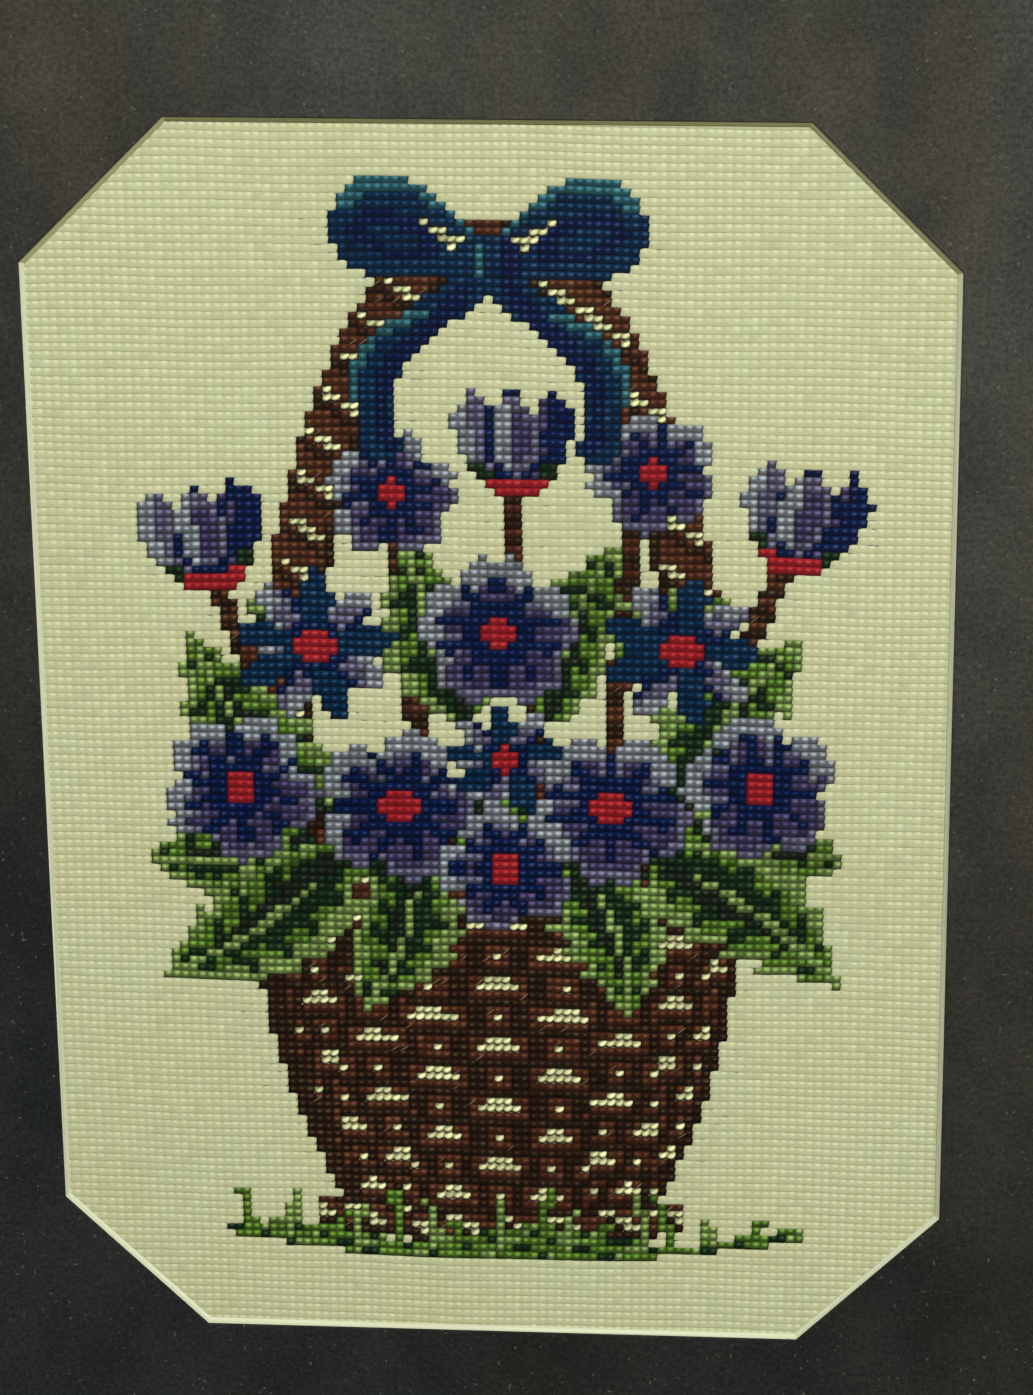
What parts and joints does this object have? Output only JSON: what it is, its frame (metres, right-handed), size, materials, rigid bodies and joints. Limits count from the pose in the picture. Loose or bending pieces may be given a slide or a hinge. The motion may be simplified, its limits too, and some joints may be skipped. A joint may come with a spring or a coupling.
{
  "type": "needlepoint tapestry in a glazed frame with a window mat",
  "caption": "Needlepoint tapestry of a flower basket behind an octagonal window mat and glass, in a plain mitred frame, lying face up.",
  "frame": {"origin": "middle of the frame's back, on the surface that the tapestry lies on", "axes": "+Z out of the picture's face, +Y to the top of the picture, +X to the picture's right"},
  "size_m": [0.4154, 0.5284, 0.018],
  "materials": {
    "wool": "cream wool tent stitch, with brown, blue, lilac, green and red wools",
    "mat_board": "matt dark brown textured mat board with a cream core",
    "glazing": "clear picture glass",
    "hardboard": "plain brown hardboard",
    "frame_wood": "dark stained wood, satin"
  },
  "bodies": {
    "root": {"needlepoint": "wool", "window_mat": "mat_board", "glass": "glazing", "backing_board": "hardboard", "rail_bottom": "frame_wood", "rail_right": "frame_wood", "rail_top": "frame_wood", "rail_left": "frame_wood"}
  },
  "joints": []
}
